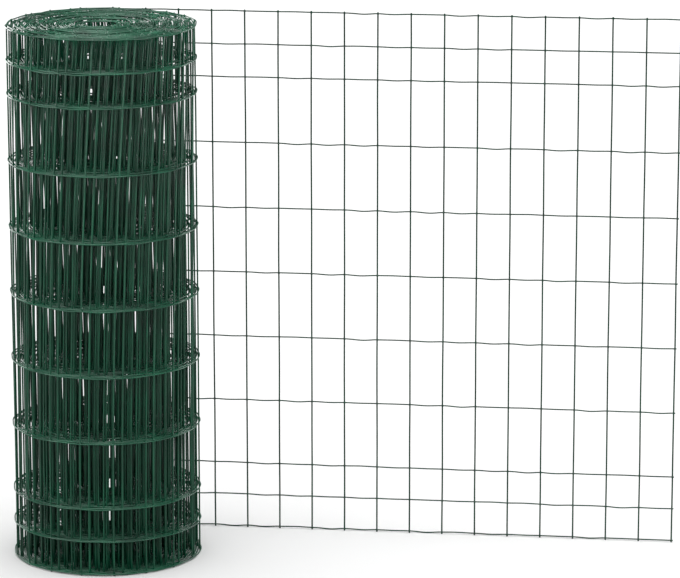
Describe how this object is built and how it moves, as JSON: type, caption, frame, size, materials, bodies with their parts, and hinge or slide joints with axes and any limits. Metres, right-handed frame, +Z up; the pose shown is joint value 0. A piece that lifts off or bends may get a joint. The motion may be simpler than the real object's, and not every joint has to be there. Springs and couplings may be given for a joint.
{
  "type": "roll of wire fencing",
  "caption": "Roll of green plastic-coated welded wire fencing standing on its end, with a small hollow core and a flat length of mesh unrolled from its back.",
  "frame": {"origin": "on the axis of the roll's hollow core, at the level the roll stands on", "axes": "+Z up along the core, +X along the unrolled length of mesh, which leaves the roll at its +Y side"},
  "size_m": [1.0022, 0.29, 0.8178],
  "materials": {
    "coated_wire": "moss green PVC coating on steel wire, semi-gloss"
  },
  "bodies": {
    "root": {"wound_roll": "coated_wire", "free_end": "coated_wire"}
  },
  "joints": []
}
